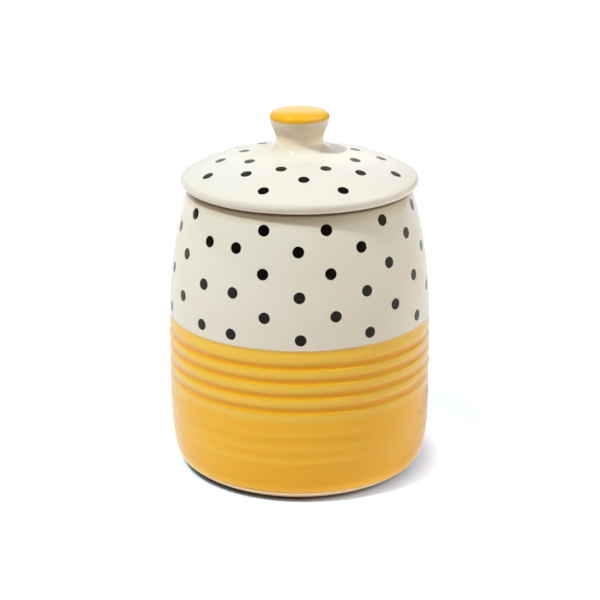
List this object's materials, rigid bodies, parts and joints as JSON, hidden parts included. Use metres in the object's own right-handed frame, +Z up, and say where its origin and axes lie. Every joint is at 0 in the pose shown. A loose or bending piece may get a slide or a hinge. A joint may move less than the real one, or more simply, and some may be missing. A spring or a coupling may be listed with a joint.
{
  "type": "biscuit jar",
  "caption": "Round stoneware biscuit jar: a barrel body with turned grooves and a domed lift-off lid with a knob and a silicone seal.",
  "frame": {"origin": "middle of the foot ring's underside, on the surface that the jar stands on", "axes": "+Z up along the jar's axis of revolution"},
  "size_m": [0.1564, 0.1564, 0.2144],
  "materials": {
    "jar_glaze": "glossy glaze, cream above and golden yellow below, with small black dots on the cream; bare stoneware foot ring",
    "lid_glaze": "glossy cream glaze with small black dots and a golden yellow knob top",
    "seal": "translucent white silicone"
  },
  "bodies": {
    "jar": {"jar_body": "jar_glaze"},
    "seal": {"lid_seal": "seal"},
    "lid": {"lid": "lid_glaze"}
  },
  "joints": [
    {"name": "lid_lift", "type": "slide", "parent": "jar", "child": "seal", "axis": [0, 0, 1], "range_m": [0, 0.14]},
    {"name": "lid_turn", "type": "hinge", "parent": "seal", "child": "lid", "pos_m": [0, 0, 0.17], "axis": [0, 0, 1], "continuous": true}
  ]
}
